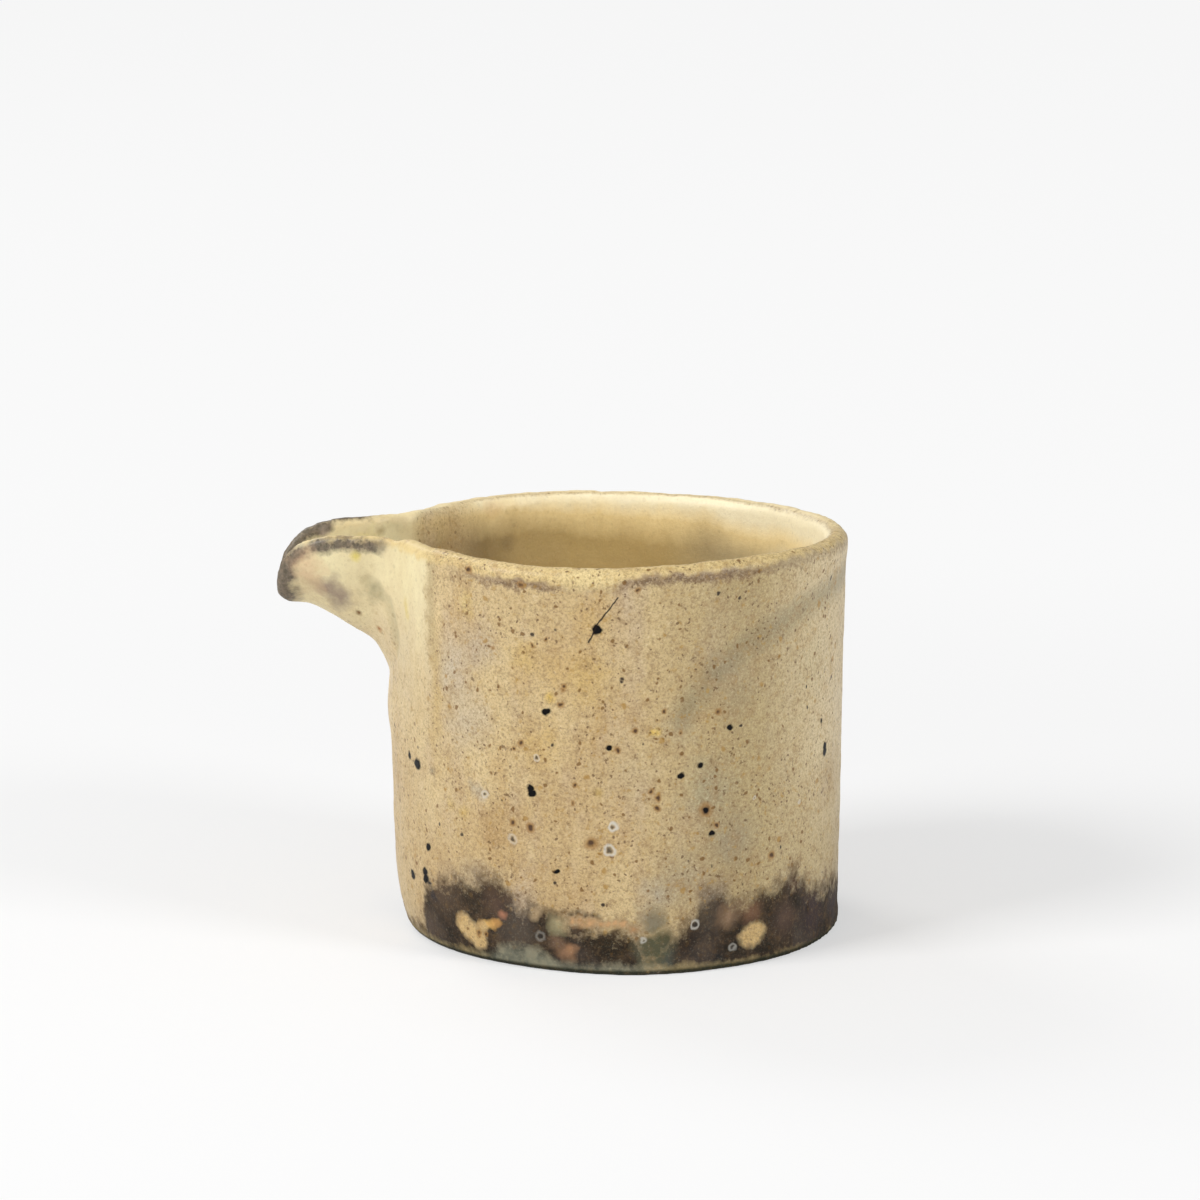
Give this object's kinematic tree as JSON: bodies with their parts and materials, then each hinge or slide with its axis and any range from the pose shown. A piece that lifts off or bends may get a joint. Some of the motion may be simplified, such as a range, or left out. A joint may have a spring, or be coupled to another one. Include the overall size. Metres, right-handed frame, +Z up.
{
  "type": "pouring jug",
  "caption": "Small hand-built stoneware pouring jug: a straight open cup with a curved beak spout luted over a notch in its wall, glazed inside and out.",
  "frame": {"origin": "middle of the flat underside the jug stands on", "axes": "+Z up; the spout points along -X; the side seen in the picture faces -Y"},
  "size_m": [0.0843, 0.0674, 0.0598],
  "materials": {
    "wall_glaze": "satin speckled sand glaze",
    "foot_glaze": "dark scorched glaze over a bare underside",
    "coil_glaze": "satin speckled sand glaze",
    "spout_glaze": "satin pale yellow glaze, dark at the lips",
    "collar_glaze": "satin pale yellow glaze"
  },
  "bodies": {
    "root": {"body_wall": "wall_glaze", "base_slab": "foot_glaze", "corner_coil": "coil_glaze", "spout": "spout_glaze", "spout_collar": "collar_glaze"}
  },
  "joints": []
}
